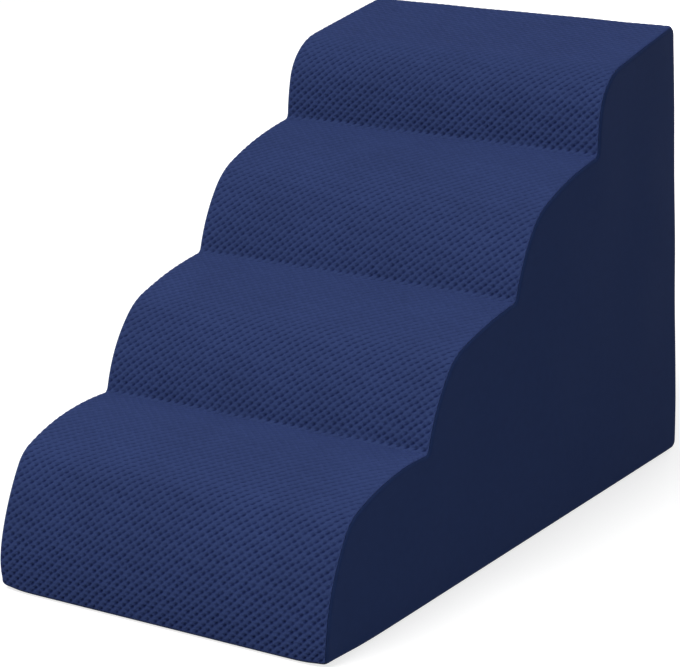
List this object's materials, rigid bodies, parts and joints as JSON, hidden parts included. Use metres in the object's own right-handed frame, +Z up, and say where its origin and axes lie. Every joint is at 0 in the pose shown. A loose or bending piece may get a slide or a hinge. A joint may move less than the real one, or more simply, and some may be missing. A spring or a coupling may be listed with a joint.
{
  "type": "pet stairs",
  "caption": "Contoured foam pet stairs with rounded tiers in a fitted fabric cover that closes with a zip across the back.",
  "frame": {"origin": "on the floor, at the middle of the whole product's outline seen from above", "axes": "+Z up, +Y towards the high end (the way the stairs climb), X across the width"},
  "size_m": [0.4, 0.7283, 0.4884],
  "materials": {
    "foam_core": "matte",
    "tread_panel": "matte",
    "side_panel_left": "matte",
    "side_panel_right": "matte",
    "back_panel_upper": "matte",
    "back_panel_lower": "matte",
    "base_panel": "matte",
    "zip_tape_upper": "matte",
    "zip_tape_lower": "matte",
    "zip_teeth_upper": "satin",
    "zip_teeth_lower": "satin",
    "zip_top_stops": "satin",
    "zip_bottom_stop": "satin",
    "zip_slider": "satin",
    "zip_pull": "satin"
  },
  "bodies": {
    "stairs": {"foam_core": "foam_core", "tread_panel": "tread_panel", "side_panel_left": "side_panel_left", "side_panel_right": "side_panel_right", "back_panel_upper": "back_panel_upper", "back_panel_lower": "back_panel_lower", "base_panel": "base_panel", "zip_tape_upper": "zip_tape_upper", "zip_tape_lower": "zip_tape_lower", "zip_teeth_upper": "zip_teeth_upper", "zip_teeth_lower": "zip_teeth_lower", "zip_top_stops": "zip_top_stops", "zip_bottom_stop": "zip_bottom_stop"},
    "slider": {"zip_slider": "zip_slider"},
    "pull": {"zip_pull": "zip_pull"}
  },
  "joints": [
    {"name": "zip_slide", "type": "slide", "parent": "stairs", "child": "slider", "axis": [-1, 0, 0], "range_m": [0, 0.357], "deforming": ["zip_teeth_upper", "zip_teeth_lower"]},
    {"name": "pull_hinge", "type": "hinge", "parent": "slider", "child": "pull", "pos_m": [0.17979, 0.3621, 0.062], "axis": [0, 0, -1], "range_deg": [0, 180]}
  ]
}
